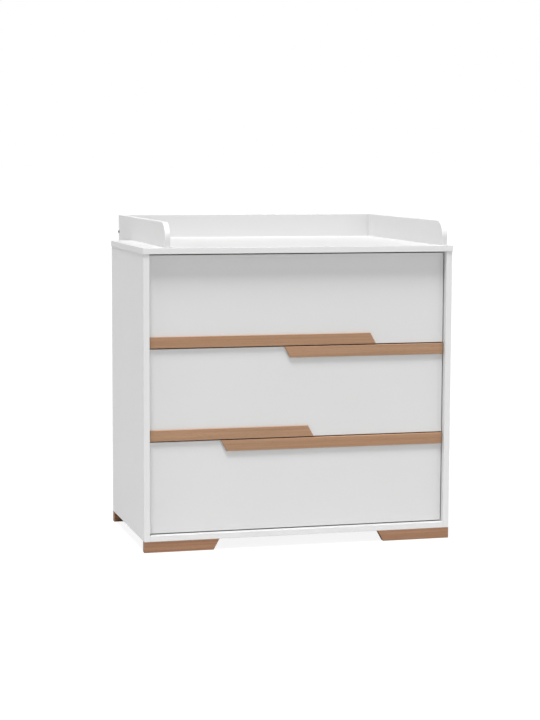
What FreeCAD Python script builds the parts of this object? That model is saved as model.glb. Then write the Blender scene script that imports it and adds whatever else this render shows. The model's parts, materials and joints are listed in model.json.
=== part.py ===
import FreeCAD, Part
import math
import os
from FreeCAD import Vector

# Changing table: a chest of three drawers with a low rail round its top on
# three sides, which holds a changing mat.
# Row frame: X to the right, Y to the rear, Z up. The origin is on the floor,
# midway across the width and midway between the front of the top and the
# rear of the changing rail.

os.makedirs("parts", exist_ok=True)

# ================================================================ driving sizes, mm
# Carcass.
chest_width = 950.0
carcass_depth = 513.0
board = 18.0
side_height = 846.5
back_thickness = 3.0
back_rebate_width = 6.0
stretcher_height = 80.0
board_edge_radius = 1.0

# Top board.
top_front_overhang = 2.5
top_side_overhang = 1.5
top_rear_overhang = 2.0

# Changing rail, of thinner board than the carcass.
rail_board = 16.0
rail_height = 74.0
rail_front_setback = 5.0
rail_reach = 743.0
rail_left_inset = 65.0
rail_right_inset = 15.0
rail_corner_radius = 48.0
rail_edge_radius = 1.5

# Feet.
foot_height = 32.5
foot_length = 228.0
foot_thickness = 20.0
foot_slant = 18.0
wood_edge_radius = 1.5

# Drawer fronts and the handle strips on them.
drawer_names = ["lower", "middle", "upper"]
front_gap = 3.0
gap_above_fronts = 4.0
gap_below_fronts = 3.0
front_recess = 18.0
handle_height = 33.0
handle_thickness = 16.0
handle_stand = 5.0
long_handle_reach = 240.0
short_handle_reach = 46.0
handle_slant = 18.0
groove_depth = 3.0
groove_height = 6.0
groove_end_land = 20.0

# Drawer boxes.
box_board = 12.0
box_length = 450.0
box_height = 200.0
box_lift = 22.0
bottom_sheet = 3.0
bottom_rise = 10.0
bottom_groove = 5.0

# Runners: each is three steel channels, one inside the other. A web gap and
# a lip gap are how far that plane stands off the inside of the carcass.
runner_length = 450.0
runner_setback = 2.0
runner_thickness = 12.7
runner_rise = 48.0
steel_sheet = 1.2
cabinet_half_height = 22.8
cabinet_lip_gap = 10.6
middle_half_height = 18.0
middle_web_gap = 2.7
middle_lip_gap = 11.0
middle_shortfall = 5.0
drawer_half_height = 13.5
drawer_lip_gap = 5.6

# Wall brackets.
bracket_spacing = 600.0
bracket_width = 40.0
bracket_leg = 42.0
bracket_sheet = 2.0
bracket_hole_radius = 2.75
bracket_hole_drop = 25.0
bracket_bend_radius = 1.0

# Dowels. The bite is how deep one end sits in the far board.
dowel_radius = 4.0
dowel_length = 30.0
dowel_bite = 10.0
dowel_offset = 32.0
box_dowel_radius = 3.0
box_dowel_rises = [90.0, 160.0]
box_dowel_cover = 4.0
rail_dowel_places = [100.0, 350.0]
rail_dowel_lift = 3.0
corner_dowel_shift = 3.0
corner_dowel_drop = 22.0
seam_dowel_places = [-300.0, 0.0, 300.0]

# Cam fittings of the carcass.
joint_inset = 60.0
cam_radius = 7.5
cam_height = 12.5
cam_inset = 34.0
cam_bolt_radius = 3.0
cam_bolt_bite = 11.0

# Bolts and barrel nuts at the rear corners of the changing rail.
corner_bolt_rise = 19.0
corner_bolt_radius = 3.0
corner_bolt_length = 56.0
corner_head_radius = 4.5
corner_head_height = 2.6
corner_head_taper = 0.7
barrel_nut_radius = 5.0
barrel_nut_length = 13.0
barrel_nut_distance = 48.0

# Screws. Head sizes follow from the shank radius by these ratios.
head_ratio = 2.0
pan_height_ratio = 0.9
pan_taper = 0.6
foot_screw_radius = 2.25
foot_screw_length = 38.0
foot_screw_places = [40.0, 115.0, 190.0]
counterbore_radius = 5.0
counterbore_depth = 8.0
rail_screw_radius = 2.25
rail_screw_length = 50.0
rail_screw_places = [40.0, 220.0, 460.0, 620.0]
back_rail_screw_places = [-240.0, 60.0, 360.0]
handle_screw_radius = 2.0
handle_screw_bite = 12.0
handle_screw_spacing = 224.0
runner_screw_radius = 1.75
runner_screw_length = 14.0
runner_screw_inset = 37.0
bracket_screw_radius = 1.9
bracket_screw_length = 14.0
bracket_screw_offset = 10.0

# Nails that hold the back sheet in its rebates.
nail_radius = 0.8
nail_length = 15.0
nail_head_radius = 2.2
nail_head_height = 0.8
nail_head_taper = 0.9
nail_side_rises = [80.0, 245.0, 410.0, 575.0, 740.0]
nail_across_places = [-300.0, 0.0, 300.0]

# A distance that counts as touching when edges are picked by their place.
touch = 0.1

# ================================================================ places worked out from them
half_width = chest_width / 2
half_opening = half_width - board
front_y = -(rail_reach - top_front_overhang) / 2
rear_y = front_y + carcass_depth
rail_rear_y = front_y + rail_reach
carcass_bottom = foot_height
floor_of_opening = carcass_bottom + board
side_top = carcass_bottom + side_height
top_surface = side_top + board
rail_top = top_surface + rail_height
back_front_y = rear_y - back_thickness
top_rear_y = rear_y + top_rear_overhang

opening_height = side_top - floor_of_opening
all_gaps = gap_below_fronts + (len(drawer_names) - 1) * front_gap + gap_above_fronts
front_height = (opening_height - all_gaps) / len(drawer_names)
front_face_y = front_y + front_recess
box_front_y = front_face_y + board
handle_front_y = front_face_y - handle_stand
handle_back_y = handle_front_y + handle_thickness
half_front = half_opening - front_gap
half_box = half_opening - runner_thickness

rail_left_x = -half_width + rail_left_inset
rail_right_x = half_width - rail_right_inset
rail_middle_y = rail_rear_y - rail_board / 2
rail_middles = [rail_left_x + rail_board / 2, rail_right_x - rail_board / 2]

joint_front_y = front_y + joint_inset
joint_rear_y = rear_y - joint_inset

runner_front_y = box_front_y + runner_setback
runner_span = (runner_front_y, runner_front_y + runner_length)
middle_span = (runner_span[0] + middle_shortfall, runner_span[1] - middle_shortfall)


# ================================================================ shape helpers
def block(x_span, y_span, z_span):
    """A plain box from three (low, high) spans."""
    size = [span[1] - span[0] for span in (x_span, y_span, z_span)]
    return Part.makeBox(size[0], size[1], size[2], Vector(x_span[0], y_span[0], z_span[0]))


def between(a, b):
    """The same two places, lower one first."""
    return (min(a, b), max(a, b))


def soften(solid, radius, chosen=None):
    """Round the edges of a solid, or those whose box passes a test."""
    edges = solid.Edges
    if chosen:
        edges = [edge for edge in edges if chosen(edge.BoundBox)]
    return solid.makeFillet(radius, edges)


def panel(x_span, y_span, z_span):
    """A board with lightly rounded edges all round."""
    return soften(block(x_span, y_span, z_span), board_edge_radius)


def rod(radius, length, start, direction):
    """A plain round rod that starts at a point and runs along a direction."""
    return Part.makeCylinder(radius, length, Vector(*start), Vector(*direction))


def prism(points, thickness):
    """Extrude a closed outline along a vector."""
    corners = [Vector(*point) for point in points]
    wire = Part.makePolygon(corners + corners[:1])
    return Part.Face(wire).extrude(Vector(*thickness))


def headed_rod(radius, length, seat, direction, head_radius, head_height, taper):
    """A rod whose tapered head stands on the surface at the point seat."""
    outward = Vector(*direction) * -1
    head = Part.makeCone(head_radius, taper * head_radius, head_height, Vector(*seat), outward)
    return head.fuse(rod(radius, length, seat, direction)).removeSplitter()


def pan_screw(radius, length, seat, direction):
    """A screw whose domed head stands on the surface at the point seat."""
    height = pan_height_ratio * radius
    return headed_rod(radius, length, seat, direction, head_ratio * radius, height, pan_taper)


def flush_screw(radius, length, top, direction):
    """A countersunk screw whose flat head ends level with the point top."""
    head_radius = head_ratio * radius
    head = Part.makeCone(head_radius, radius, head_radius, Vector(*top), Vector(*direction))
    return head.fuse(rod(radius, length, top, direction)).removeSplitter()


def save(name, solids):
    """Write one node, made of one solid or of several alike."""
    shape = solids[0] if len(solids) == 1 else Part.makeCompound(solids)
    shape.exportStep("parts/" + name + ".step")


# ================================================================ carcass
def side_panel(side):
    """side is -1 for the left panel and 1 for the right one."""
    x_span = between(side * half_width, side * half_opening)
    body = panel(x_span, (front_y, rear_y), (carcass_bottom, side_top))
    rebate_x = between(side * half_opening, side * (half_opening + back_rebate_width))
    return body.cut(block(rebate_x, (back_front_y, rear_y), (carcass_bottom, side_top)))


def top_panel():
    half = half_width + top_side_overhang
    return panel((-half, half), (front_y - top_front_overhang, top_rear_y), (side_top, top_surface))


def bottom_panel():
    return panel((-half_opening, half_opening), (front_y, back_front_y),
                 (carcass_bottom, floor_of_opening))


def back_panel():
    half = half_opening + back_rebate_width
    return block((-half, half), (back_front_y, rear_y), (carcass_bottom, side_top))


def rear_top_rail():
    """A stretcher under the rear of the top, which the back sheet is nailed to."""
    return panel((-half_opening, half_opening), (back_front_y - board, back_front_y),
                 (side_top - stretcher_height, side_top))


def back_panel_nails():
    seats = []
    for rise in nail_side_rises:
        for side in (-1, 1):
            seats.append((side * (half_opening + back_rebate_width / 2), carcass_bottom + rise))
    for x in nail_across_places:
        seats.append((x, carcass_bottom + board / 2))
        seats.append((x, side_top - stretcher_height / 2))
    return [headed_rod(nail_radius, nail_length, (x, rear_y, z), (0, -1, 0),
                       nail_head_radius, nail_head_height, nail_head_taper)
            for x, z in seats]


def cam_joints():
    """The cam bolts and cam discs that pull the carcass together."""
    bolts = []
    discs = []
    bottom_middle = carcass_bottom + board / 2
    length = cam_inset + cam_bolt_bite
    for side in (-1, 1):
        panel_middle = side * (half_width - board / 2)
        for y in (joint_front_y, joint_rear_y):
            low_start = (side * (half_opening + cam_bolt_bite), y, bottom_middle)
            bolts.append(rod(cam_bolt_radius, length, low_start, (-side, 0, 0)))
            low_disc = (side * (half_opening - cam_inset), y, carcass_bottom)
            discs.append(rod(cam_radius, cam_height, low_disc, (0, 0, 1)))
            high_start = (panel_middle, y, side_top + cam_bolt_bite)
            bolts.append(rod(cam_bolt_radius, length, high_start, (0, 0, -1)))
            high_disc = (side * half_opening, y, side_top - cam_inset)
            discs.append(rod(cam_radius, cam_height, high_disc, (side, 0, 0)))
    return bolts, discs


def carcass_dowels():
    dowels = []
    for side in (-1, 1):
        panel_middle = side * (half_width - board / 2)
        start_x = side * (half_opening + dowel_bite)
        inward = (-side, 0, 0)
        for y in (joint_front_y + dowel_offset, joint_rear_y - dowel_offset):
            low = (start_x, y, carcass_bottom + board / 2)
            dowels.append(rod(dowel_radius, dowel_length, low, inward))
            high = (panel_middle, y, side_top + dowel_bite)
            dowels.append(rod(dowel_radius, dowel_length, high, (0, 0, -1)))
        stretcher = (start_x, back_front_y - board / 2, side_top - stretcher_height / 2)
        dowels.append(rod(dowel_radius, dowel_length, stretcher, inward))
    return dowels


# ================================================================ feet
def foot_middle_y(at_rear):
    middle = foot_thickness / 2
    return rear_y - middle if at_rear else front_y + middle


def foot(side, at_rear):
    """A beech strip whose inner end slants back under the chest."""
    outer = side * half_width
    top_end = side * (half_width - foot_length)
    bottom_end = side * (half_width - foot_length + foot_slant)
    y = foot_middle_y(at_rear) - foot_thickness / 2
    outline = [(outer, y, 0), (bottom_end, y, 0), (top_end, y, foot_height), (outer, y, foot_height)]
    body = prism(outline, (0, foot_thickness, 0))
    body = soften(body, wood_edge_radius, lambda box: box.ZMin < foot_height - touch)
    for place in foot_screw_places:
        start = (side * (half_width - place), foot_middle_y(at_rear), 0)
        body = body.cut(rod(counterbore_radius, counterbore_depth, start, (0, 0, 1)))
    return body


def foot_screws():
    """Driven upwards from the counterbores into the carcass."""
    screws = []
    for side in (-1, 1):
        for at_rear in (False, True):
            for place in foot_screw_places:
                top = (side * (half_width - place), foot_middle_y(at_rear), counterbore_depth)
                screws.append(flush_screw(foot_screw_radius, foot_screw_length, top, (0, 0, 1)))
    return screws


# ================================================================ changing rail on top
def side_rail(x_span):
    """A rail on edge; its upper front corner is a quarter circle."""
    x = x_span[0]
    y_low = front_y + rail_front_setback
    centre_y = y_low + rail_corner_radius
    centre_z = rail_top - rail_corner_radius
    halfway = rail_corner_radius * math.sqrt(0.5)
    rear_low = Vector(x, rail_rear_y, top_surface)
    front_low = Vector(x, y_low, top_surface)
    arc_start = Vector(x, y_low, centre_z)
    arc_middle = Vector(x, centre_y - halfway, centre_z + halfway)
    arc_end = Vector(x, centre_y, rail_top)
    rear_high = Vector(x, rail_rear_y, rail_top)
    edges = [
        Part.LineSegment(rear_low, front_low).toShape(),
        Part.LineSegment(front_low, arc_start).toShape(),
        Part.Arc(arc_start, arc_middle, arc_end).toShape(),
        Part.LineSegment(arc_end, rear_high).toShape(),
        Part.LineSegment(rear_high, rear_low).toShape(),
    ]
    body = Part.Face(Part.Wire(edges)).extrude(Vector(x_span[1] - x, 0, 0))
    return soften(body, rail_edge_radius,
                  lambda box: box.XLength < touch and box.ZMax > top_surface + touch)


def back_rail():
    body = block((rail_left_x + rail_board, rail_right_x - rail_board),
                 (rail_rear_y - rail_board, rail_rear_y), (top_surface, rail_top))
    return soften(body, rail_edge_radius,
                  lambda box: box.XLength > rail_board and box.ZMin > top_surface + touch)


def rear_board():
    """Carries the changing surface on behind the chest, level with its top."""
    return panel((rail_left_x, rail_right_x), (top_rear_y, rail_rear_y), (side_top, top_surface))


def corner_fittings():
    """The domed bolts through the side rails and the nuts in the back rail."""
    bolts = []
    nuts = []
    z = top_surface + corner_bolt_rise
    for outer_x, inward in ((rail_left_x, 1), (rail_right_x, -1)):
        bolts.append(headed_rod(corner_bolt_radius, corner_bolt_length, (outer_x, rail_middle_y, z),
                                (inward, 0, 0), corner_head_radius, corner_head_height,
                                corner_head_taper))
        nut_start = (outer_x + inward * barrel_nut_distance, rail_rear_y, z)
        nuts.append(rod(barrel_nut_radius, barrel_nut_length, nut_start, (0, -1, 0)))
    return bolts, nuts


def changer_dowels():
    """Under the side rails, in their rear corners, and along the top's rear seam."""
    dowels = []
    low = top_surface - dowel_length / 2 + rail_dowel_lift
    for x, inward in zip(rail_middles, (1, -1)):
        for place in rail_dowel_places:
            dowels.append(rod(dowel_radius, dowel_length, (x, front_y + place, low), (0, 0, 1)))
        corner = (x - inward * corner_dowel_shift, rail_middle_y, rail_top - corner_dowel_drop)
        dowels.append(rod(dowel_radius, dowel_length, corner, (inward, 0, 0)))
    for x in seam_dowel_places:
        seam = (x, top_rear_y - dowel_length / 2, side_top + board / 2)
        dowels.append(rod(dowel_radius, dowel_length, seam, (0, 1, 0)))
    return dowels


def changer_screws():
    """Driven upwards through the top and the rear board into the rails."""
    tops = [(x, front_y + place, side_top) for x in rail_middles for place in rail_screw_places]
    tops += [(x, rail_middle_y, side_top) for x in back_rail_screw_places]
    return [flush_screw(rail_screw_radius, rail_screw_length, top, (0, 0, 1)) for top in tops]


# ================================================================ wall brackets
def wall_bracket(x):
    """A steel angle under the rear board, with one hole towards the wall."""
    x_span = (x - bracket_width / 2, x + bracket_width / 2)
    sheet_front_y = rail_rear_y - bracket_sheet
    sheet_low = side_top - bracket_sheet
    flat = block(x_span, (rail_rear_y - bracket_leg, rail_rear_y), (sheet_low, side_top))
    upright = block(x_span, (sheet_front_y, rail_rear_y), (side_top - bracket_leg, sheet_low))
    body = flat.fuse(upright).removeSplitter()
    body = soften(body, bracket_bend_radius,
                  lambda box: box.XLength > bracket_width - touch
                  and abs(box.YMax - sheet_front_y) < touch
                  and abs(box.ZMax - sheet_low) < touch)
    hole_start = (x, sheet_front_y - bracket_sheet, side_top - bracket_hole_drop)
    return body.cut(rod(bracket_hole_radius, 3 * bracket_sheet, hole_start, (0, 1, 0)))


def bracket_screws():
    screws = []
    y = rail_rear_y - bracket_leg / 2
    for x in (-bracket_spacing / 2, bracket_spacing / 2):
        for offset in (-bracket_screw_offset, bracket_screw_offset):
            seat = (x + offset, y, side_top - bracket_sheet)
            screws.append(pan_screw(bracket_screw_radius, bracket_screw_length, seat, (0, 0, 1)))
    return screws


# ================================================================ drawer runners
def channels(web_x, lip_x, half_height, y_span, z):
    """The left and right pressed steel C: a web at web_x, flanges out to lip_x."""
    toward_lip = 1 if lip_x > web_x else -1
    inner_x = web_x + toward_lip * steel_sheet
    inner_half = half_height - steel_sheet
    outline = [
        (web_x, -half_height), (lip_x, -half_height), (lip_x, -inner_half), (inner_x, -inner_half),
        (inner_x, inner_half), (lip_x, inner_half), (lip_x, half_height), (web_x, half_height),
    ]
    length = (0, y_span[1] - y_span[0], 0)
    return [prism([(side * x, y_span[0], z + dz) for x, dz in outline], length) for side in (-1, 1)]


def cabinet_members(z):
    """Screwed to the carcass, open towards the drawer."""
    return channels(half_opening, half_opening - cabinet_lip_gap, cabinet_half_height, runner_span, z)


def middle_members(z):
    return channels(half_opening - middle_web_gap, half_opening - middle_lip_gap,
                    middle_half_height, middle_span, z)


def drawer_members(z):
    """Screwed to the drawer box, open towards the carcass."""
    return channels(half_box, half_opening - drawer_lip_gap, drawer_half_height, runner_span, z)


def runner_screws(levels):
    """Through the cabinet members into the side panels."""
    screws = []
    for z in levels:
        for side in (-1, 1):
            for y in (runner_span[0] + runner_screw_inset, runner_span[1] - runner_screw_inset):
                top = (side * (half_opening - steel_sheet), y, z)
                screws.append(flush_screw(runner_screw_radius, runner_screw_length, top, (side, 0, 0)))
    return screws


# ================================================================ drawers
def drawer_front(low):
    """The front board, grooved behind for the bottom sheet."""
    body = panel((-half_front, half_front), (front_face_y, box_front_y), (low, low + front_height))
    half_sheet = half_box - box_board + bottom_groove
    sheet_low = low + box_lift + bottom_rise
    groove = block((-half_sheet, half_sheet), (box_front_y - bottom_groove, box_front_y),
                   (sheet_low, sheet_low + bottom_sheet))
    return body.cut(groove)


def drawer_side(side, floor):
    outer = side * half_box
    inner = side * (half_box - box_board)
    y_span = (box_front_y, box_front_y + box_length)
    body = panel(between(outer, inner), y_span, (floor, floor + box_height))
    groove_x = between(inner, inner + side * bottom_groove)
    sheet_low = floor + bottom_rise
    return body.cut(block(groove_x, y_span, (sheet_low, sheet_low + bottom_sheet)))


def drawer_back(floor):
    half = half_box - box_board
    rear = box_front_y + box_length
    y_span = (rear - box_board, rear)
    body = panel((-half, half), y_span, (floor, floor + box_height))
    sheet_low = floor + bottom_rise
    groove = block((-half, half), (y_span[0], y_span[0] + bottom_groove),
                   (sheet_low, sheet_low + bottom_sheet))
    return body.cut(groove)


def drawer_bottom(floor):
    half = half_box - box_board + bottom_groove
    rear = box_front_y + box_length - box_board + bottom_groove
    sheet_low = floor + bottom_rise
    return block((-half, half), (box_front_y - bottom_groove, rear),
                 (sheet_low, sheet_low + bottom_sheet))


def drawer_dowels(floor):
    """Glued dowels: two in each corner of the drawer box."""
    dowels = []
    side_middle_x = half_box - box_board / 2
    back_middle_y = box_front_y + box_length - box_board / 2
    for side in (-1, 1):
        for rise in box_dowel_rises:
            front_start = (side * side_middle_x, box_front_y - dowel_bite, floor + rise)
            dowels.append(rod(box_dowel_radius, dowel_length, front_start, (0, 1, 0)))
            back_start = (side * (half_box - box_dowel_cover), back_middle_y, floor + rise)
            dowels.append(rod(box_dowel_radius, dowel_length, back_start, (-side, 0, 0)))
    return dowels


# ================================================================ beech handles
def groove_span(reach, from_left):
    """Where the fingertip groove of a handle starts and stops along X."""
    inner = reach - handle_slant - groove_end_land
    outer = half_front - groove_end_land
    return (-outer, inner) if from_left else (-inner, outer)


def handle_strip(reach, low, from_left):
    """A plain strip along one edge of a drawer front, with one slanted end.

    A strip from the left ends in a point at the bottom; one from the right is
    the same strip given half a turn, and ends in a point at the top.
    """
    turn = -1 if from_left else 1
    fixed = turn * half_front
    tip = -turn * reach
    short_tip = -turn * (reach - handle_slant)
    high = low + handle_height
    tip_z, short_z = (low, high) if from_left else (high, low)
    outline = [(fixed, handle_front_y, tip_z), (tip, handle_front_y, tip_z),
               (short_tip, handle_front_y, short_z), (fixed, handle_front_y, short_z)]
    return prism(outline, (0, handle_thickness, 0))


def handle(reach, low, from_left):
    """Let into its drawer front, with a fingertip groove under the part that stands proud."""
    body = soften(handle_strip(reach, low, from_left), wood_edge_radius,
                  lambda box: box.YMax < handle_front_y + touch)
    groove = block(groove_span(reach, from_left), (front_face_y - groove_depth, front_face_y),
                   (low, low + groove_height))
    return body.cut(groove)


def handle_screws(reach, low, from_left):
    """Driven from inside the drawer into the back of the strip."""
    span = groove_span(reach, from_left)
    middle = (span[0] + span[1]) / 2
    count = 3 if reach > handle_screw_spacing else 2
    z = low + (groove_height + handle_height) / 2
    length = box_front_y - handle_back_y + handle_screw_bite
    places = [middle + (index - (count - 1) / 2) * handle_screw_spacing for index in range(count)]
    return [pan_screw(handle_screw_radius, length, (x, box_front_y, z), (0, -1, 0)) for x in places]


# Every handle: its node name, the drawer it is fixed to, its reach past the
# middle of the chest, whether it starts from the left and whether it runs
# along the foot of its drawer front.
handles = [
    ("upper_handle", "upper", long_handle_reach, True, True),
    ("middle_top_handle", "middle", short_handle_reach, False, False),
    ("middle_bottom_handle", "middle", short_handle_reach, True, True),
    ("lower_handle", "lower", long_handle_reach, False, False),
]


# ================================================================ write every node
save("left_side_panel", [side_panel(-1)])
save("right_side_panel", [side_panel(1)])
save("top_panel", [top_panel()])
save("bottom_panel", [bottom_panel()])
save("back_panel", [back_panel()])
save("back_panel_nails", back_panel_nails())
save("rear_top_rail", [rear_top_rail()])
cam_bolts, cam_discs = cam_joints()
save("cam_bolts", cam_bolts)
save("cam_discs", cam_discs)
save("carcass_dowels", carcass_dowels())

for side, side_name in ((-1, "left"), (1, "right")):
    save("front_" + side_name + "_foot", [foot(side, False)])
    save("rear_" + side_name + "_foot", [foot(side, True)])
save("foot_screws", foot_screws())

save("changer_left_rail", [side_rail((rail_left_x, rail_left_x + rail_board))])
save("changer_right_rail", [side_rail((rail_right_x - rail_board, rail_right_x))])
save("changer_back_rail", [back_rail()])
save("changer_rear_board", [rear_board()])
corner_bolts, corner_nuts = corner_fittings()
save("changer_corner_bolts", corner_bolts)
save("changer_barrel_nuts", corner_nuts)
save("changer_dowels", changer_dowels())
save("changer_screws", changer_screws())
save("wall_brackets", [wall_bracket(-bracket_spacing / 2), wall_bracket(bracket_spacing / 2)])
save("wall_bracket_screws", bracket_screws())

runner_levels = []
for index, name in enumerate(drawer_names):
    low = floor_of_opening + gap_below_fronts + index * (front_height + front_gap)
    floor = low + box_lift
    level = floor + runner_rise
    runner_levels.append(level)
    save(name + "_drawer_left_side", [drawer_side(-1, floor)])
    save(name + "_drawer_right_side", [drawer_side(1, floor)])
    save(name + "_drawer_back", [drawer_back(floor)])
    save(name + "_drawer_bottom", [drawer_bottom(floor)])
    save(name + "_drawer_dowels", drawer_dowels(floor))
    save(name + "_cabinet_members", cabinet_members(level))
    save(name + "_middle_members", middle_members(level))
    save(name + "_drawer_members", drawer_members(level))
    front = drawer_front(low)
    screws = []
    for node, owner, reach, from_left, at_foot in handles:
        if owner == name:
            handle_low = low if at_foot else low + front_height - handle_height
            front = front.cut(handle_strip(reach, handle_low, from_left))
            save(node, [handle(reach, handle_low, from_left)])
            screws += handle_screws(reach, handle_low, from_left)
    save(name + "_drawer_front", [front])
    save(name + "_handle_screws", screws)
save("runner_screws", runner_screws(runner_levels))
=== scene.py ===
import json
import math

import bmesh
import bpy
from mathutils import Matrix, Vector

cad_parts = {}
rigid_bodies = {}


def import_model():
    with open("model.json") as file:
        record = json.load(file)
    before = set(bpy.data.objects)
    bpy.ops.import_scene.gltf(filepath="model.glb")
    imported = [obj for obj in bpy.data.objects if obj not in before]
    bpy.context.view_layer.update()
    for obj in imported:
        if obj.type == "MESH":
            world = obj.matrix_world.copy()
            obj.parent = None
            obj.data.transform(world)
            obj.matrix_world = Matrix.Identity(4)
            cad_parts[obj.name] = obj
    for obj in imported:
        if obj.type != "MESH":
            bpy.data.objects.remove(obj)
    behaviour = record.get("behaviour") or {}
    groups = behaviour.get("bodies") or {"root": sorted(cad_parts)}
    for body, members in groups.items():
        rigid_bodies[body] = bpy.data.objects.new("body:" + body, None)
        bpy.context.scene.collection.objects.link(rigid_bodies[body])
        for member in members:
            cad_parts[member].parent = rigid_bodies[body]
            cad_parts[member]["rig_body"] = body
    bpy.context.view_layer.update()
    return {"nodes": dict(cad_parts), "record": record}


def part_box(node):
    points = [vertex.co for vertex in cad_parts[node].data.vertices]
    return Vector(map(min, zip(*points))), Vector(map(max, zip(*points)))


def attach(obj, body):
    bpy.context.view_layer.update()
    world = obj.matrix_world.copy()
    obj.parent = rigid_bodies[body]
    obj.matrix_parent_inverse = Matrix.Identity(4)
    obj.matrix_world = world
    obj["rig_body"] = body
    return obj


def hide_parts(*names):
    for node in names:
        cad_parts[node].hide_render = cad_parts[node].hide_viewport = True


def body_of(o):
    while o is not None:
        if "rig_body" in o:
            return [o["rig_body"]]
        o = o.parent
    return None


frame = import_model()
NODES = frame["nodes"]
DRAWERS = ("upper", "middle", "lower")
MM = 0.001
SLOT_OF = {row["node"]: row["material_slot"] for row in frame["record"]["subparts"]}

# ---------------------------------------------------------------- sizes of the small fittings, mm
KEY_STEPS = 1e5
SHARP_DEGREES = 32.0
ROUND_STEPS = 28
RECESS_TAPER = 0.72
BOLT_HEAD_RADIUS = 4.5
BOLT_HEAD_HEIGHT = 2.6
RUNNER_SHEET = 1.2
BEND_RADIUS = 1.6
BEND_STEPS = 5
LIP_CURL = 0.5
WEB_RIB = 0.35
HOLE_STEPS = 20
CUTTER_OUTSIDE = 2.0
CUTTER_INSIDE = 2 * RUNNER_SHEET + 1.0
MIDDLE_WEB_GAP = 2.7
CAGE_LENGTH = 117.0
CAGE_SHEET = 0.6
BALLS_PER_ROW = 13

# Channel nodes: node ending, whether the web is on the carcass side, and its holes as
# (share of the length, height from the middle, length, width).
RUNNER_MEMBERS = (
    ("cabinet_members", True, ((0.14, 0.0, 12.0, 4.4), (0.26, 0.0, 6.0, 6.0),
                               (0.42, 0.0, 12.0, 4.4), (0.58, 0.0, 12.0, 4.4),
                               (0.74, 0.0, 6.0, 6.0), (0.86, 0.0, 12.0, 4.4))),
    ("middle_members", True, ((0.10, 0.0, 18.0, 7.0), (0.50, 0.0, 24.0, 7.0),
                              (0.90, 0.0, 18.0, 7.0))),
    ("drawer_members", False, ((0.08, 0.0, 9.0, 4.4), (0.20, 0.0, 4.4, 4.4), (0.50, 0.0, 9.0, 4.4),
                               (0.80, 0.0, 4.4, 4.4), (0.92, 0.0, 9.0, 4.4))),
)

# Ball cages: place along the middle channel, height of the rows, ball radius, and the gap from
# the carcass to the near and far edge of the strip.
BALL_CAGES = (
    (0.75, 19.8, 1.6, 1.65, 9.4),
    (0.25, 15.15, 1.45, 4.45, 10.6),
)

# ---------------------------------------------------------------- camera
CAMERA_HEIGHT = 1.1564
CAMERA_LEFT = -1.5233
CAMERA_AHEAD = 5.3055
CAMERA_YAW = 15.074
CAMERA_PITCH = 6.166
CAMERA_ROLL = 0.230
CAMERA_LENS = 93.29
SENSOR = 36.0


def make_camera():
    """Looks at the chest from the front left, a little above its top."""
    data = bpy.data.cameras.new("camera")
    data.sensor_width = SENSOR
    data.lens = CAMERA_LENS
    data.clip_start = 0.1
    data.clip_end = 200.0
    camera = bpy.data.objects.new("camera", data)
    carcass_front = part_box("left_side_panel")[0].y
    camera.location = (CAMERA_LEFT, carcass_front - CAMERA_AHEAD, CAMERA_HEIGHT)
    turn = Matrix.Rotation(math.radians(-CAMERA_YAW), 4, "Z")
    tilt = Matrix.Rotation(math.radians(90.0 - CAMERA_PITCH), 4, "X")
    roll = Matrix.Rotation(math.radians(CAMERA_ROLL), 4, "Z")
    camera.rotation_euler = (turn @ tilt @ roll).to_euler()
    bpy.context.collection.objects.link(camera)
    bpy.context.scene.camera = camera


# ---------------------------------------------------------------- studio
WORLD_LIGHT = 0.08
WORLD_SEEN = 1.0
FLOOR_SIZE = 600.0
FLOOR_BOUNCE = 0.55
FLOOR_SEEN = 0.10
FLOOR_GLOW = 0.90

# Soft far lights: name, degrees round from the front towards the right, height in degrees,
# apparent size in degrees, strength.
LIGHTS = (
    ("key_left", -30.0, 76.0, 12.0, 3.55),
    ("key_right", 60.0, 67.0, 14.0, 0.30),
    ("side", -90.0, 15.0, 50.0, 0.94),
    ("front_right", 45.0, 30.0, 50.0, 0.74),
)


def sun(name, azimuth, height, size, power):
    data = bpy.data.lights.new(name, "SUN")
    data.energy = power
    data.angle = math.radians(size)
    light = bpy.data.objects.new(name, data)
    around = math.radians(azimuth)
    up = math.radians(height)
    toward_light = Vector((math.sin(around) * math.cos(up),
                           -math.cos(around) * math.cos(up),
                           math.sin(up)))
    light.rotation_euler = toward_light.to_track_quat("Z", "Y").to_euler()
    bpy.context.collection.objects.link(light)


def make_world():
    """Even white light from all round; the background itself is seen as plain white."""
    world = bpy.data.worlds.new("studio")
    bpy.context.scene.world = world
    world.use_nodes = True
    tree = world.node_tree
    tree.nodes.clear()
    out = tree.nodes.new("ShaderNodeOutputWorld")
    mix = tree.nodes.new("ShaderNodeMixShader")
    path = tree.nodes.new("ShaderNodeLightPath")
    light = tree.nodes.new("ShaderNodeBackground")
    seen = tree.nodes.new("ShaderNodeBackground")
    light.inputs["Strength"].default_value = WORLD_LIGHT
    light.inputs["Color"].default_value = (1, 1, 1, 1)
    seen.inputs["Strength"].default_value = WORLD_SEEN
    seen.inputs["Color"].default_value = (1, 1, 1, 1)
    tree.links.new(path.outputs["Is Camera Ray"], mix.inputs["Fac"])
    tree.links.new(light.outputs["Background"], mix.inputs[1])
    tree.links.new(seen.outputs["Background"], mix.inputs[2])
    tree.links.new(mix.outputs["Shader"], out.inputs["Surface"])


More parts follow.
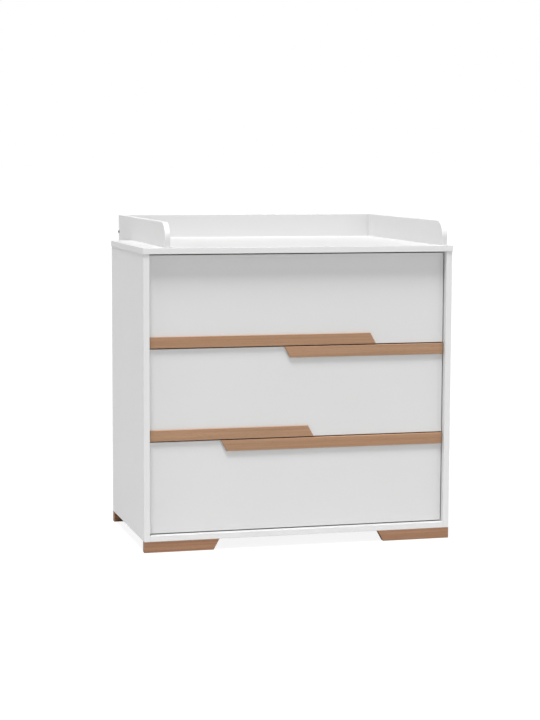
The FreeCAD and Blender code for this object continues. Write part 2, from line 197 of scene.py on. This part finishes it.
def make_floor():
    """A pale seamless floor: close to white where it is lit, with faint soft shadows."""
    mesh = bpy.data.meshes.new("floor")
    half = FLOOR_SIZE / 2
    mesh.from_pydata([(-half, -half, 0), (half, -half, 0), (half, half, 0), (-half, half, 0)],
                     [], [(0, 1, 2, 3)])
    floor = bpy.data.objects.new("floor", mesh)
    bpy.context.collection.objects.link(floor)
    surface = Surface("floor_paint", (FLOOR_BOUNCE,) * 3, roughness=0.9)
    seen = surface.add("LightPath").outputs["Is Camera Ray"]
    surface.finish(surface.mix(seen, grey(FLOOR_BOUNCE), grey(FLOOR_SEEN)))
    surface.feed(surface.shader, "Emission Color", grey(1.0))
    surface.feed(surface.shader, "Emission Strength", surface.math("MULTIPLY", seen, FLOOR_GLOW))
    floor.data.materials.append(surface.material)


# ---------------------------------------------------------------- material building
# How squarely a surface faces an axis where it counts as a face, and as flat or rounded.
FACE_FROM = 0.8
FACE_FULL = 0.98
FLAT_FROM = 0.995
ROUNDED_FROM = 0.93


class Surface:
    """A material with one main shader, and short ways to add the nodes that feed it."""

    def __init__(self, name, colour, **sockets):
        self.material = bpy.data.materials.new(name)
        self.material.use_nodes = True
        self.tree = self.material.node_tree
        self.shader = self.tree.nodes["Principled BSDF"]
        self.shader.inputs["Base Color"].default_value = (*colour, 1.0)
        for key, value in sockets.items():
            socket = key.replace("_", " ").title().replace("Ior", "IOR")
            self.shader.inputs[socket].default_value = value

    def add(self, kind, settings=None, **inputs):
        """Adds a node. Its inputs are given by name, or by number as at0, at1 and so on."""
        node = self.tree.nodes.new("ShaderNode" + kind)
        for key, value in (settings or {}).items():
            setattr(node, key, value)
        for key, value in inputs.items():
            socket = int(key[2:]) if key.startswith("at") else key.replace("_", " ").title()
            self.feed(node, socket, value)
        return node

    def feed(self, node, socket, value):
        target = node.inputs[socket]
        if isinstance(value, bpy.types.NodeSocket):
            self.tree.links.new(value, target)
        else:
            target.default_value = value

    def place(self, scale=(1, 1, 1)):
        """Object coordinates in metres, stretched."""
        where = self.add("TexCoord")
        mapping = self.add("Mapping", scale=scale)
        self.feed(mapping, "Vector", where.outputs["Object"])
        return mapping.outputs["Vector"]

    def noise(self, vector, scale, detail=3.0, roughness=0.5, distortion=0.0):
        node = self.add("TexNoise", scale=scale, detail=detail, roughness=roughness,
                        distortion=distortion)
        self.feed(node, "Vector", vector)
        return node.outputs["Fac"]

    def span(self, value, low, high, new_low, new_high):
        node = self.add("MapRange", at1=low, at2=high, at3=new_low, at4=new_high)
        self.feed(node, "Value", value)
        return node.outputs["Result"]

    def math(self, operation, first, second=0.0):
        return self.add("Math", {"operation": operation}, at0=first, at1=second).outputs["Value"]

    def mix(self, share, first, second, blend="MIX"):
        settings = {"data_type": "RGBA", "blend_type": blend}
        node = self.add("Mix", settings, at0=share, at6=first, at7=second)
        return node.outputs[2]

    def bump(self, height, strength, distance, under=None):
        node = self.add("Bump", strength=strength, distance=distance, height=height)
        if under is not None:
            self.feed(node, "Normal", under)
        return node.outputs["Normal"]

    def facing(self, axis):
        """How squarely the surface faces along one axis of the frame, 0 to 1."""
        normal = self.add("NewGeometry").outputs["Normal"]
        parts = self.add("SeparateXYZ", vector=normal)
        return self.math("ABSOLUTE", parts.outputs[axis])

    def face(self, axis):
        """1 on the flat faces across one axis, 0 on the faces along it."""
        return self.span(self.facing(axis), FACE_FROM, FACE_FULL, 0.0, 1.0)

    def edge(self):
        """1 on the rounded edges between flat faces, 0 on the faces."""
        front_or_top = self.math("MAXIMUM", self.facing("Y"), self.facing("Z"))
        squarest = self.math("MAXIMUM", self.facing("X"), front_or_top)
        return self.span(squarest, FLAT_FROM, ROUNDED_FROM, 0.0, 1.0)

    def finish(self, colour=None, roughness=None, normal=None):
        for socket, value in (("Base Color", colour), ("Roughness", roughness), ("Normal", normal)):
            if value is not None:
                self.feed(self.shader, socket, value)
        return self.material


def grey(value):
    return (value, value, value, 1.0)


# ---------------------------------------------------------------- white boards
LACQUER = 0.775
# Drawer fronts and rails use a copy of the lacquer painted a touch lighter than the carcass:
# painted light.
FRONT_PAINTED_LIGHT_TONE = 1.02
# Faces along Y (front and rear edges) of the carcass boards are painted lighter: a painted
# highlight.
FRONT_FACE_HIGHLIGHT_TONE = 1.09
# Faces looking up or down are painted darker: painted shade on the carcass boards, and a deeper
# painted shade on the bottom board, whose top face shows in the gap under the lowest drawer.
CARCASS_FLAT_FACE_SHADE = 0.885
BOTTOM_FLAT_FACE_SHADE = 0.74
# Rounded edges are painted lighter than the faces: a painted highlight.
EDGE_HIGHLIGHT_SHARE = 0.35
EDGE_HIGHLIGHT_TONE = 1.06
BRIGHTEST_WHITE = 0.95


def white_lacquer(name, tone=1.0, front_face_highlight=1.0, flat_face_shade=1.0):
    """Satin sprayed lacquer: a very fine orange peel, slight waviness, and a painted highlight on
    the rounded edges.

    Its faces along Y can take a painted highlight, and its faces looking up or down a painted
    shade.
    """
    white = LACQUER * tone
    s = Surface(name, (white,) * 3, roughness=0.5, specular_ior_level=0.3)
    place = s.place()
    cloud = s.noise(place, 5.0, 2.0)
    clean = s.mix(cloud, (white * 0.985, white * 0.985, white * 0.982, 1), grey(white * 1.012))
    edge_highlight = grey(min(white * EDGE_HIGHLIGHT_TONE, BRIGHTEST_WHITE))
    # Painted highlight: the rounded edges are mixed towards a lighter white.
    colour = s.mix(s.math("MULTIPLY", s.edge(), EDGE_HIGHLIGHT_SHARE), clean, edge_highlight)
    # Painted highlight: faces along Y are made lighter.
    colour = s.mix(s.face("Y"), colour, grey(front_face_highlight), "MULTIPLY")
    # Painted shade: faces along Z are made darker.
    colour = s.mix(s.face("Z"), colour, grey(flat_face_shade), "MULTIPLY")
    rough = s.span(s.noise(place, 40.0, 4.0), 0.3, 0.7, 0.46, 0.56)
    peel = s.bump(s.noise(place, 650.0, 2.0), 0.05, 0.0003)
    wave = s.bump(s.noise(place, 14.0, 1.0), 0.04, 0.004, peel)
    return s.finish(colour, rough, wave)


def white_melamine():
    """Drawer box board: matt melamine with a faint pressed pore."""
    s = Surface("white_melamine", (0.74, 0.74, 0.735), roughness=0.55)
    place = s.place()
    pores = s.noise(s.place((900, 60, 900)), 1.0, 3.0)
    colour = s.mix(s.noise(place, 8.0), (0.73, 0.73, 0.722, 1), (0.755, 0.755, 0.75, 1))
    rough = s.span(s.noise(place, 120.0), 0.3, 0.7, 0.48, 0.62)
    return s.finish(colour, rough, s.bump(pores, 0.12, 0.0002))


def white_hardboard():
    """Thin pressed board: painted, with the fibres just showing."""
    s = Surface("white_hardboard", (0.72, 0.72, 0.71), roughness=0.6)
    place = s.place()
    fibre = s.noise(place, 420.0, 6.0, 0.75, 1.5)
    colour = s.mix(fibre, (0.69, 0.69, 0.675, 1), (0.745, 0.745, 0.74, 1))
    rough = s.span(fibre, 0.3, 0.7, 0.5, 0.72)
    return s.finish(colour, rough, s.bump(fibre, 0.25, 0.0003))


# ---------------------------------------------------------------- woods
# Light, dark and fleck colour of each beech.
STRIP_BEECH = ((0.500, 0.304, 0.182), (0.385, 0.218, 0.122), (0.22, 0.110, 0.052))
FOOT_BEECH = ((0.440, 0.246, 0.142), (0.300, 0.150, 0.078), (0.16, 0.072, 0.032))
DOWEL_BEECH = ((0.58, 0.42, 0.27), (0.50, 0.34, 0.20), (0.32, 0.20, 0.11))
DOWEL_FIGURE = 0.7
FIBRE_SHARE = 0.45
PORE_SHARE = 0.55
PORE_SINK = 0.7
END_GRAIN_TONE = 0.80


def beech(name, light, dark, fleck, strength=1.0):
    """Straight-grained beech, its grain along X: fibres, slow growth bands, short dark flecks."""
    s = Surface(name, light, roughness=0.45, coat_weight=0.08, coat_roughness=0.3)
    bands = s.noise(s.place((1.6, 60.0, 150.0)), 1.0, 3.0, 0.6, 0.5)
    fibres = s.noise(s.place((9.0, 260.0, 420.0)), 1.0, 4.0, 0.65, 0.2)
    pores = s.noise(s.place((70.0, 900.0, 1500.0)), 1.0, 2.0, 0.5)
    drift = s.noise(s.place((2.2, 3.0, 3.0)), 1.0, 2.0)
    tone = s.mix(s.span(bands, 0.32, 0.68, 0.0, 1.0), (*light, 1), (*dark, 1))
    fibre_mark = s.span(fibres, 0.35, 0.7, 0.0, 1.0)
    tone = s.mix(s.math("MULTIPLY", fibre_mark, FIBRE_SHARE * strength), tone, (*dark, 1))
    pore_mark = s.span(pores, 0.60, 0.72, 0.0, 1.0)
    tone = s.mix(s.math("MULTIPLY", pore_mark, PORE_SHARE * strength), tone, (*fleck, 1))
    warm = s.mix(s.span(drift, 0.35, 0.65, 0.0, 0.5), tone, (1.06, 0.97, 0.90, 1), "MULTIPLY")
    end_share = s.span(s.facing("X"), 0.55, 0.8, 0.0, 1.0)
    rings = s.noise(s.place((300.0, 240.0, 700.0)), 1.0, 3.0, 0.6)
    end_tone = s.mix(rings, (*(END_GRAIN_TONE * c for c in dark), 1), (*dark, 1))
    colour = s.mix(end_share, warm, end_tone)
    rough = s.span(fibres, 0.3, 0.7, 0.40, 0.55)
    height = s.math("SUBTRACT", fibres, s.math("MULTIPLY", pore_mark, PORE_SINK))
    return s.finish(colour, rough, s.bump(height, 0.22, 0.0003))


# ---------------------------------------------------------------- metals
def plated_steel(name, colour, smooth, streak):
    """Zinc-plated steel with drawing marks along Y and a faint cloudy plate."""
    s = Surface(name, colour, metallic=1.0, roughness=smooth)
    cloud = s.noise(s.place(), 90.0, 3.0)
    lines = s.noise(s.place((2600, 14, 2600)), 1.0, 3.0, 0.7)
    dull = (*(0.90 * c for c in colour), 1)
    bright = (*(min(1.0, 1.06 * c) for c in colour), 1)
    shade = s.mix(cloud, dull, bright)
    marks = s.math("ADD", cloud, s.math("MULTIPLY", lines, streak))
    rough = s.span(marks, 0.4, 1.3, smooth * 0.8, smooth * 1.45)
    return s.finish(shade, rough, s.bump(lines, 0.10 * streak, 0.0001))


def dark_steel():
    s = Surface("dark_steel", (0.10, 0.095, 0.09), metallic=0.7, roughness=0.38)
    wear = s.noise(s.place(), 700.0, 4.0)
    rubbed = s.span(wear, 0.55, 0.75, 0.0, 0.5)
    shade = s.mix(rubbed, (0.075, 0.07, 0.068, 1), (0.22, 0.20, 0.18, 1))
    return s.finish(shade, s.span(wear, 0.3, 0.7, 0.30, 0.5), s.bump(wear, 0.08, 0.0001))


def dress_nodes():
    """Gives every CAD node the finish of its material slot, or its own version of it."""
    finishes = {
        "white_lacquered_board": white_lacquer("white_lacquer", FRONT_PAINTED_LIGHT_TONE),
        "white_drawer_board": white_melamine(),
        "white_hardboard": white_hardboard(),
        "beech": beech("beech", *STRIP_BEECH),
        "dowel_wood": beech("dowel_wood", *DOWEL_BEECH, DOWEL_FIGURE),
        "zinc_steel": plated_steel("zinc_steel", (0.66, 0.67, 0.68), 0.28, 0.4),
        "runner_steel": plated_steel("runner_steel", (0.58, 0.59, 0.60), 0.34, 1.0),
        "cam_zinc": plated_steel("cam_zinc", (0.52, 0.52, 0.53), 0.42, 0.2),
        "dark_steel": dark_steel(),
    }
    # Carcass and bottom boards: painted highlight on faces along Y, painted shade on faces along Z.
    carcass_board = white_lacquer("carcass_lacquer", 1.0, FRONT_FACE_HIGHLIGHT_TONE, CARCASS_FLAT_FACE_SHADE)
    bottom_board = white_lacquer("bottom_lacquer", 1.0, FRONT_FACE_HIGHLIGHT_TONE, BOTTOM_FLAT_FACE_SHADE)
    # Rails: the lighter copy of the lacquer, painted light.
    rail_board = white_lacquer("rail_lacquer", FRONT_PAINTED_LIGHT_TONE)
    foot_beech = beech("foot_beech", *FOOT_BEECH)
    for row in frame["record"]["subparts"]:
        name = row["node"]
        finish = finishes[row["material_slot"]]
        if name in ("left_side_panel", "right_side_panel", "top_panel", "changer_rear_board"):
            finish = carcass_board
        elif name == "bottom_panel":
            finish = bottom_board
        elif name.endswith("_rail"):
            finish = rail_board
        elif name.endswith("_foot"):
            finish = foot_beech
        node = NODES[name]
        node.data.materials.clear()
        node.data.materials.append(finish)
    return finishes


# ---------------------------------------------------------------- mesh helpers
def loose_parts(node):
    """The (low, high) box of each separate solid in a CAD node, always in the same order."""
    mesh = NODES[node].data
    keys = [tuple(round(c * KEY_STEPS) for c in vertex.co) for vertex in mesh.vertices]
    leader = {key: key for key in keys}

    def lead(key):
        while leader[key] != key:
            leader[key] = leader[leader[key]]
            key = leader[key]
        return key

    for polygon in mesh.polygons:
        corners = [keys[index] for index in polygon.vertices]
        for corner in corners[1:]:
            leader[lead(corner)] = lead(corners[0])
    groups = {}
    for key, vertex in zip(keys, mesh.vertices):
        groups.setdefault(lead(key), []).append(vertex.co)
    boxes = [(Vector(map(min, zip(*points))), Vector(map(max, zip(*points))))
             for points in groups.values()]
    return sorted(boxes, key=lambda box: tuple(round(c, 4) for c in box[0]))


class Shape:
    """Vertices and faces of one piece, gathered in millimetres."""

    def __init__(self):
        self.vertices = []
        self.faces = []

    def add(self, vertices, faces, place=None):
        start = len(self.vertices)
        self.vertices += [place(Vector(v)) if place else Vector(v) for v in vertices]
        self.faces += [[start + index for index in face] for face in faces]

    def mesh(self, name):
        mesh = bpy.data.meshes.new(name)
        mesh.from_pydata([v * MM for v in self.vertices], [], self.faces)
        built = bmesh.new()
        built.from_mesh(mesh)
        bmesh.ops.recalc_face_normals(built, faces=built.faces)
        built.to_mesh(mesh)
        built.free()
        mesh.shade_smooth()
        mesh.set_sharp_from_angle(angle=math.radians(SHARP_DEGREES))
        return mesh


def add_piece(name, shape, nodes, finish, slot, body):
    """Adds a piece that stands for some CAD nodes, or for none, and rides on a body."""
    piece = bpy.data.objects.new(name, shape.mesh(name))
    bpy.context.collection.objects.link(piece)
    piece.data.materials.append(finish)
    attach(piece, body)
    if nodes:
        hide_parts(*nodes)


# ---------------------------------------------------------------- screws, bolts, cams and nails
def cross(reach, half):
    """The outline of a cross-shaped screwdriver recess."""
    corners = []
    for turn in range(4):
        angle = turn * math.pi / 2
        for x, y in ((reach, -half), (reach, half), (half, half)):
            corners.append((x * math.cos(angle) - y * math.sin(angle),
                            x * math.sin(angle) + y * math.cos(angle)))
    return corners


def hexagon(reach):
    return [(reach * math.cos(k * math.pi / 3), reach * math.sin(k * math.pi / 3))
            for k in range(6)]


def slit(reach, half):
    return [(reach, -half), (reach, half), (-reach, half), (-reach, -half)]


def reach_at(outline, angle):
    """How far a closed outline round the origin reaches in one direction."""
    along = Vector((math.cos(angle), math.sin(angle)))
    best = 0.0
    for a, b in zip(outline, outline[1:] + outline[:1]):
        start, edge = Vector(a), Vector(b) - Vector(a)
        turn = along.cross(edge)
        if abs(turn) < 1e-9:
            continue
        distance = start.cross(edge) / turn
        share = start.cross(along) / turn
        if -1e-6 <= share <= 1 + 1e-6:
            best = max(best, distance)
    return best


def turned(rings, recess=None, depth=0.0):
    """A closed turned solid from (radius, height) rings, top first, its top sunk by a recess."""
    angles = [k * 2 * math.pi / ROUND_STEPS for k in range(ROUND_STEPS)]
    levels = []
    if recess:
        corners = [math.atan2(y, x) % (2 * math.pi) for x, y in recess]
        angles = sorted(corners + [a for a in angles if min(abs(a - c) for c in corners) > 0.02])
        reach = [reach_at(recess, a) for a in angles]
        levels.append(([RECESS_TAPER * r for r in reach], rings[0][1] - depth))
        levels.append((reach, rings[0][1]))
    levels += [([radius] * len(angles), height) for radius, height in rings]
    count = len(angles)
    vertices = [(r * math.cos(a), r * math.sin(a), height)
                for radii, height in levels for r, a in zip(radii, angles)]
    faces = [[k * count + i, k * count + (i + 1) % count,
              (k + 1) * count + (i + 1) % count, (k + 1) * count + i]
             for k in range(len(levels) - 1) for i in range(count)]
    for level, height in ((0, levels[0][1]), (len(levels) - 1, levels[-1][1])):
        vertices.append((0, 0, height))
        faces += [[level * count + i, level * count + (i + 1) % count, len(vertices) - 1]
                  for i in range(count)]
    return vertices, faces


def pan_rings(radius, length):
    """A domed head with its shank and point; the surface it stands on is at 0."""
    shank = radius / 2
    height = 0.9 * shank
    return [(0.62 * radius, height), (0.80 * radius, 0.90 * height), (0.93 * radius, 0.66 * height),
            (radius, 0.30 * height), (radius, 0.0), (shank, 0.0), (shank, height - length + shank),
            (0.25 * shank, height - length)]


def flush_rings(radius, length):
    """A countersunk head level with the surface at 0."""
    shank = radius / 2
    return [(0.93 * radius, 0.0), (radius, -0.05 * radius), (radius, -0.12 * radius),
            (shank, -radius), (shank, shank - length), (0.25 * shank, -length)]


def cam_rings(radius, length):
    return [(0.60 * radius, -0.25), (0.66 * radius, 0.0), (0.94 * radius, 0.0), (radius, -0.4),
            (radius, -length)]


def bolt_rings(radius, length):
    shank = radius / 1.5
    height = BOLT_HEAD_HEIGHT
    return [(0.58 * radius, height), (0.78 * radius, 0.92 * height), (0.92 * radius, 0.68 * height),
            (0.99 * radius, 0.34 * height), (radius, 0.0), (shank, 0.0), (shank, height - length)]


def nut_rings(radius, length):
    return [(0.94 * radius, 0.0), (radius, -0.3), (radius, 0.3 - length), (0.94 * radius, -length)]


def nail_rings(radius, length):
    return [(0.55 * radius, 0.8), (0.85 * radius, 0.70), (radius, 0.42), (radius, 0.0),
            (0.36 * radius, 0.0), (0.36 * radius, 2.0 - length), (0.05, 0.8 - length)]


def outward(part, facing):
    """The direction that a fitting's head faces, from its own box."""
    low, high = part
    if facing == "rear":
        return Vector((0, 1, 0))
    if facing == "down" or (facing == "cam" and high.z - low.z < high.x - low.x):
        return Vector((0, 0, -1))
    side = math.copysign(1.0, low.x + high.x)
    return Vector((side if facing == "away" else -side, 0, 0))


def pan_cross(radius):
    return cross(0.50 * radius, 0.14 * radius)


def flush_cross(radius):
    return cross(0.55 * radius, 0.15 * radius)


def cam_cross(radius):
    return cross(0.52 * radius, 0.14 * radius)


def bolt_hexagon(radius):
    return hexagon(0.50 * radius)


def nut_slit(radius):
    return slit(0.80 * radius, 0.13 * radius)


# Nodes of small fittings: node, where the heads face, rings, recess for a head radius, its depth
# for a head radius, how far the head stands above its surface as a share of the head radius.
FITTINGS = (
    [(f"{name}_handle_screws", "rear", pan_rings, pan_cross, 0.50, 0.45) for name in DRAWERS]
    + [
        ("wall_bracket_screws", "down", pan_rings, pan_cross, 0.50, 0.45),
        ("runner_screws", "inward", flush_rings, flush_cross, 0.50, 0.0),
        ("foot_screws", "down", flush_rings, flush_cross, 0.50, 0.0),
        ("changer_screws", "down", flush_rings, flush_cross, 0.50, 0.0),
        ("cam_discs", "cam", cam_rings, cam_cross, 0.35, 0.0),
        ("changer_corner_bolts", "away", bolt_rings, bolt_hexagon, 0.45,
         BOLT_HEAD_HEIGHT / BOLT_HEAD_RADIUS),
        ("changer_barrel_nuts", "rear", nut_rings, nut_slit, 0.30, 0.0),
        ("back_panel_nails", "rear", nail_rings, None, 0.0, 0.8 / 2.2),
    ]
)


def add_fittings(finishes):
    for node, facing, rings, recess, depth, stand in FITTINGS:
        shape = Shape()
        for low, high in loose_parts(node):
            direction = outward((low, high), facing)
            axis = max(range(3), key=lambda k: abs(direction[k]))
            size = (high - low) / MM
            radius = max(size[k] for k in range(3) if k != axis) / 2
            top = (low + high) / 2 / MM
            top[axis] = (high if direction[axis] > 0 else low)[axis] / MM
            surface = top - direction * stand * radius
            turn = direction.to_track_quat("Z", "Y")
            outline = recess(radius) if recess else None
            shape.add(*turned(rings(radius, size[axis]), outline, depth * radius),
                      place=lambda v: surface + turn @ v)
        name = SLOT_OF[node]
        add_piece(node + "_shaped", shape, [node], finishes[name], name, body_of(NODES[node])[0])


# ---------------------------------------------------------------- drawer runners
def channel_outline(depth, half_height):
    """Cross-section of a rolled channel: web at 0, lips at depth, every bend rounded."""
    middle = RUNNER_SHEET / 2
    high = half_height - middle
    path = [(depth - middle * 0.4, high - LIP_CURL),
            (depth - 1.4, high - 0.35 * LIP_CURL),
            (depth - 2.6, high)]
    for step in range(BEND_STEPS + 1):
        angle = math.pi / 2 + step * math.pi / 2 / BEND_STEPS
        path.append((middle + BEND_RADIUS * (1 + math.cos(angle)),
                     high - BEND_RADIUS * (1 - math.sin(angle))))
    path += [(middle, 0.45 * half_height), (middle + WEB_RIB, 0.30 * half_height)]
    path += [(x, -z) for x, z in reversed(path)]
    near, far = [], []
    for k, (x, z) in enumerate(path):
        before, after = path[max(k - 1, 0)], path[min(k + 1, len(path) - 1)]
        along = (Vector(after) - Vector(before)).normalized()
        near.append((x - along.y * middle, z + along.x * middle))
        far.append((x + along.y * middle, z - along.x * middle))
    return near + far[::-1]


def extruded(outline, start, end):
    """A prism along the second axis from an outline in the first and third."""
    count = len(outline)
    vertices = [(x, y, z) for y in (start, end) for x, z in outline]
    faces = [[i, (i + 1) % count, count + (i + 1) % count, count + i] for i in range(count)]
    return vertices, faces + [list(range(count)), list(range(count, 2 * count))]


def slot_cutter(place, rise, length, width):
    """A round-ended hole through a channel's web."""
    radius = width / 2
    straight = max(length / 2 - radius, 0.0)
    rim = []
    for step in range(HOLE_STEPS):
        angle = (step + 0.5) * 2 * math.pi / HOLE_STEPS
        shift = math.copysign(straight, math.cos(angle))
        rim.append((place + shift + radius * math.cos(angle), rise + radius * math.sin(angle)))
    vertices = [(x, y, z) for x in (-CUTTER_OUTSIDE, CUTTER_INSIDE) for y, z in rim]
    faces = [[i, (i + 1) % HOLE_STEPS, HOLE_STEPS + (i + 1) % HOLE_STEPS, HOLE_STEPS + i]
             for i in range(HOLE_STEPS)]
    return vertices, faces + [list(range(HOLE_STEPS)), list(range(HOLE_STEPS, 2 * HOLE_STEPS))]


def punched_channel(depth, half_height, length, holes):
    """A rolled channel with its holes cut out; returns its vertices and faces in millimetres."""
    body, cutters = Shape(), Shape()
    body.add(*extruded(channel_outline(depth, half_height), 0.0, length))
    for hole in holes:
        cutters.add(*slot_cutter(*hole))
    blanks = []
    for name, shape in (("channel_blank", body), ("channel_holes", cutters)):
        blank = bpy.data.objects.new(name, shape.mesh(name))
        bpy.context.collection.objects.link(blank)
        blanks.append(blank)
    punch = blanks[0].modifiers.new("punch", "BOOLEAN")
    punch.operation = "DIFFERENCE"
    punch.solver = "EXACT"
    punch.object = blanks[1]
    punched = blanks[0].evaluated_get(bpy.context.evaluated_depsgraph_get())
    cut = bpy.data.meshes.new_from_object(punched)
    result = [tuple(v.co / MM) for v in cut.vertices], [list(p.vertices) for p in cut.polygons]
    for blank in blanks:
        old = blank.data
        bpy.data.objects.remove(blank)
        bpy.data.meshes.remove(old)
    bpy.data.meshes.remove(cut)
    return result


def side_and_places(part):
    """The side, 1 or -1, and the far and near distance from the middle, in millimetres."""
    side = math.copysign(1.0, part[0].x + part[1].x)
    ends = sorted((abs(part[0].x) / MM, abs(part[1].x) / MM))
    return side, ends[1], ends[0]


def add_runner_members(finishes):
    """Punched and rolled channels in place of the plain ones."""
    for member, web_outside, holes in RUNNER_MEMBERS:
        blank = None
        for name in DRAWERS:
            node = f"{name}_{member}"
            shape = Shape()
            for low, high in loose_parts(node):
                side, far, near = side_and_places((low, high))
                length = (high.y - low.y) / MM
                if blank is None:
                    half = (high.z - low.z) / MM / 2
                    cuts = [(share * length, rise, slot_length, slot_width)
                            for share, rise, slot_length, slot_width in holes]
                    blank = punched_channel(far - near, half, length, cuts)
                origin_y, middle_z = low.y / MM, (low.z + high.z) / MM / 2
                shape.add(*blank, place=lambda v: Vector((
                    side * (far - v.x if web_outside else near + v.x),
                    origin_y + v.y,
                    middle_z + v.z)))
            add_piece(node + "_rolled", shape, [node], finishes["runner_steel"],
                      "runner_steel", body_of(NODES[node])[0])


def ball(radius):
    built = bmesh.new()
    bmesh.ops.create_icosphere(built, subdivisions=2, radius=radius)
    vertices = [tuple(v.co) for v in built.verts]
    faces = [[v.index for v in face.verts] for face in built.faces]
    built.free()
    return vertices, faces


def add_ball_cages(finishes):
    """Strips of balls between the channels, each riding with the middle channel."""
    for name in DRAWERS:
        shape = Shape()
        for low, high in loose_parts(f"{name}_middle_members"):
            side, far, _ = side_and_places((low, high))
            carcass = far + MIDDLE_WEB_GAP
            middle_z = (low.z + high.z) / MM / 2
            for share, rise, radius, gap_low, gap_high in BALL_CAGES:
                start = low.y / MM + share * (high.y - low.y) / MM - CAGE_LENGTH / 2
                half = CAGE_SHEET / 2
                strip = [(gap_high, rise + half), (gap_low + 1.0, rise + half),
                         (gap_low + 0.3, rise + half - 0.3), (gap_low, rise + half - 1.0)]
                inner = [(gap_low + CAGE_SHEET, rise - 1.0),
                         (gap_low + CAGE_SHEET + 0.4, rise - half), (gap_high, rise - half)]
                outline = strip + [(x, -z) for x, z in reversed(strip)]
                outline += [(x, -z) for x, z in reversed(inner)] + inner

                def place(v):
                    return Vector((side * (carcass - v.x), start + v.y, middle_z + v.z))

                shape.add(*extruded(outline, 0.0, CAGE_LENGTH), place=place)
                for step in range(BALLS_PER_ROW):
                    along = (step + 0.5) * CAGE_LENGTH / BALLS_PER_ROW
                    for z in (-rise, rise):
                        centre = Vector(((gap_low + gap_high) / 2 + 0.6, along, z))
                        shape.add(*ball(radius), place=lambda v: place(v + centre))
        add_piece(f"{name}_ball_cages", shape, [], finishes["runner_steel"],
                  "runner_steel", f"{name}_slides")


make_camera()
make_world()
for light in LIGHTS:
    sun(*light)
make_floor()
finishes = dress_nodes()
add_fittings(finishes)
add_runner_members(finishes)
add_ball_cages(finishes)

scene = bpy.context.scene
scene.view_settings.view_transform = "Standard"
scene.view_settings.look = "None"
